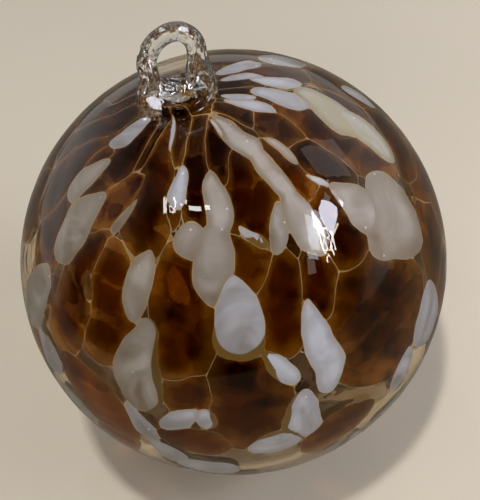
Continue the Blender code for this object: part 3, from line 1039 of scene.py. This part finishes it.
# Floor and light
# A plain pale floor in a soft studio, bright low down and dim overhead, as glass is lit to show its edges.
# A small lamp nearly overhead gives the shadow, and a group of lamps shows in the glass.
FLOOR_SIZE = 1.6
FLOOR_DROP = 0.05 * MM
FLOOR_LIGHT = (0.73, 0.662, 0.552, 1)
FLOOR_DARK = (0.66, 0.600, 0.497, 1)
GRAIN_SCALE = 9.0
floor_mesh = mesh_from("floor", [(-1, -1, 0), (1, -1, 0), (1, 1, 0), (-1, 1, 0)], [(0, 1, 2), (0, 2, 3)])
floor_mesh.transform(Matrix.Scale(FLOOR_SIZE / 2, 4))
floor = new_object("floor", floor_mesh)
floor.location.z = -FLOOR_DROP
material, tree = new_material("floor")
paint = blend(tree, noise(tree, GRAIN_SCALE, 3.0), FLOOR_LIGHT, FLOOR_DARK)
shader = add(tree, "BsdfPrincipled",
             {"Base Color": paint, "Roughness": 0.8, "Specular IOR Level": 0.2})
add(tree, "OutputMaterial", {"Surface": shader.outputs[0]})
floor_mesh.materials.append(material)

# The floor isn't mirrored in the glass. What the glass mirrors there is the dimmer ground of the world.
floor.visible_glossy = False


def lamp(name, place, back, up, width, height, radiance, colour):
    """A rectangular soft lamp that shines away from its back."""
    data = bpy.data.lights.new(name, "AREA")
    data.shape = "RECTANGLE"
    data.size = width
    data.size_y = height
    data.energy = radiance * pi * width * height
    data.color = colour
    made = new_object(name, data)
    back = Vector(back).normalized()
    side = Vector(up).cross(back).normalized()
    turn = Matrix([side, back.cross(side), back]).transposed().to_4x4()
    made.matrix_world = Matrix.Translation(Vector(place)) @ turn
    return made


# Two lamps light the floor and the glass, and aren't mirrored in it: the way to each from the ball, how far
# off it stands, its size and its radiance
PLAIN_LAMPS = (
    ("key", (0.02, -0.177, 0.984), 1.1, 0.07, 350.0),
    ("fill", (-0.25, -0.88, 0.40), 1.2, 0.9, 2.0),
)
PLAIN_TINT = (1.0, 0.97, 0.93)
for name, way, distance, size, radiance in PLAIN_LAMPS:
    place = ball_centre + np.array(way) * distance
    made = lamp(name, place, way, UPWARD, size, size, radiance, PLAIN_TINT)
    made.visible_glossy = False
    made.visible_transmission = False

# Lamps that the glass mirrors, each set where its reflection falls on the ball: the upper and lower end of
# the reflection and its width in pixels of the picture, its radiance and its colour
LAVENDER = (0.86, 0.86, 1.0)
SKY = (0.78, 0.87, 1.0)
WARM = (1.0, 0.80, 0.66)
PEACH = (1.0, 0.84, 0.80)
WHITE = (1.0, 1.0, 1.0)
MIRRORED_LAMPS = (
    ("broad", (330, 200), (324, 231), 21, 17.0, LAVENDER),
    ("broad_side", (312, 212), (316, 256), 13, 5.5, SKY),
    ("gleam_one", (321, 228), (331, 259), 3, 24.0, WHITE),
    ("gleam_two", (331, 230), (335, 251), 3, 18.0, WHITE),
    ("gleam_three", (339, 222), (325, 252), 2, 16.0, WARM),
    ("dim_low", (308, 254), (312, 275), 10, 1.8, WARM),
    ("dim_high", (323, 192), (331, 197), 8, 2.0, WARM),
    ("dim_wide", (316, 140), (340, 178), 34, 0.80, PEACH),
    ("bar", (186, 208), (204, 208), 5, 16.0, WHITE),
    ("upright", (174, 197), (174, 212), 4, 16.0, WHITE),
    ("neck_gleam", (174, 127), (181, 126), 4, 20.0, WHITE),
    ("post_gleam", (196, 116), (206, 109), 5, 20.0, LAVENDER),
)
for name, (high_x, high_y), (low_x, low_y), width, radiance, colour in MIRRORED_LAMPS:
    x = (high_x + low_x) / 2
    y = (high_y + low_y) / 2
    length = hypot(high_x - low_x, high_y - low_y)
    half_x = (low_y - high_y) / length * width / 2
    half_y = (high_x - low_x) / length * width / 2
    across = mirrored(x + half_x, y + half_y) - mirrored(x - half_x, y - half_y)
    up = mirrored(high_x, high_y) - mirrored(low_x, low_y)
    way = mirrored(x, y)
    lamp(name, ball_centre + on_ball(x, y) * BALL_RADIUS + way * LAMP_DISTANCE, way, up,
         LAMP_DISTANCE * float(norm(across)), LAMP_DISTANCE * float(norm(up)),
         radiance, colour)

# The studio itself: soft bright and dim bands round its sides, over a low skirt and under a dimmer top. Each
# edge is given as where it starts and ends.
BANDS = 3.0
BAND_EDGE = (-0.9, 0.3)
SKIRT_EDGE = (0.02, 0.10)
OVERHEAD_EDGE = (0.10, 0.62)
GROUND_EDGE = (-0.20, -0.14)
BAND_DIM = (0.22, 0.22, 0.23, 1)
BAND_BRIGHT = (0.72, 0.70, 0.67, 1)
SKIRT = (0.60, 0.57, 0.52, 1)
OVERHEAD = (0.30, 0.285, 0.26, 1)
GROUND = (0.20, 0.175, 0.14, 1)
world = bpy.data.worlds.new("studio")
world.use_nodes = True
bpy.context.scene.world = world
tree = world.node_tree
direction = add(tree, "TexCoord").outputs["Generated"]
way = add(tree, "SeparateXYZ", {"Vector": direction}).outputs
bearing = reckon(tree, "ARCTAN2", way["Y"], way["X"])
wave = reckon(tree, "SINE", reckon(tree, "MULTIPLY", bearing, BANDS))
sides = blend(tree, smooth_range(tree, wave, *BAND_EDGE), BAND_DIM, BAND_BRIGHT)
skirt = blend(tree, smooth_range(tree, way["Z"], *SKIRT_EDGE), SKIRT, sides)
walls = blend(tree, smooth_range(tree, way["Z"], *OVERHEAD_EDGE), skirt, OVERHEAD)

# Its dark parts, on the viewer's side, on the left and high behind: the way to each, how near to that way it
# starts and is full, and its colour
for toward, start, full, dark in (
    ((0.0, -0.85, 0.53), 0.15, 0.60, (0.03, 0.03, 0.03, 1)),
    ((-0.97, -0.20, 0.10), 0.78, 0.95, (0.05, 0.05, 0.05, 1)),
    ((-0.10, 0.45, 0.89), 0.86, 0.97, (0.07, 0.07, 0.08, 1)),
):
    near = add(tree, "VectorMath", {0: direction, 1: toward}, operation="DOT_PRODUCT")
    walls = blend(tree, smooth_range(tree, near.outputs["Value"], start, full), walls, dark)
walls = blend(tree, smooth_range(tree, way["Z"], *GROUND_EDGE), GROUND, walls)
background = tree.nodes["Background"]
tree.links.new(walls, background.inputs["Color"])
background.inputs["Strength"].default_value = 1.0

BLACK_LEVEL = (0.0045, 0.0035, 0.0035)
settings = bpy.context.scene.view_settings
settings.view_transform = "Standard"
settings.use_curve_mapping = True
settings.curve_mapping.black_level = BLACK_LEVEL
settings.curve_mapping.update()
cycles = bpy.context.scene.cycles
cycles.max_bounces = 24
cycles.transmission_bounces = 20
cycles.transparent_max_bounces = 16
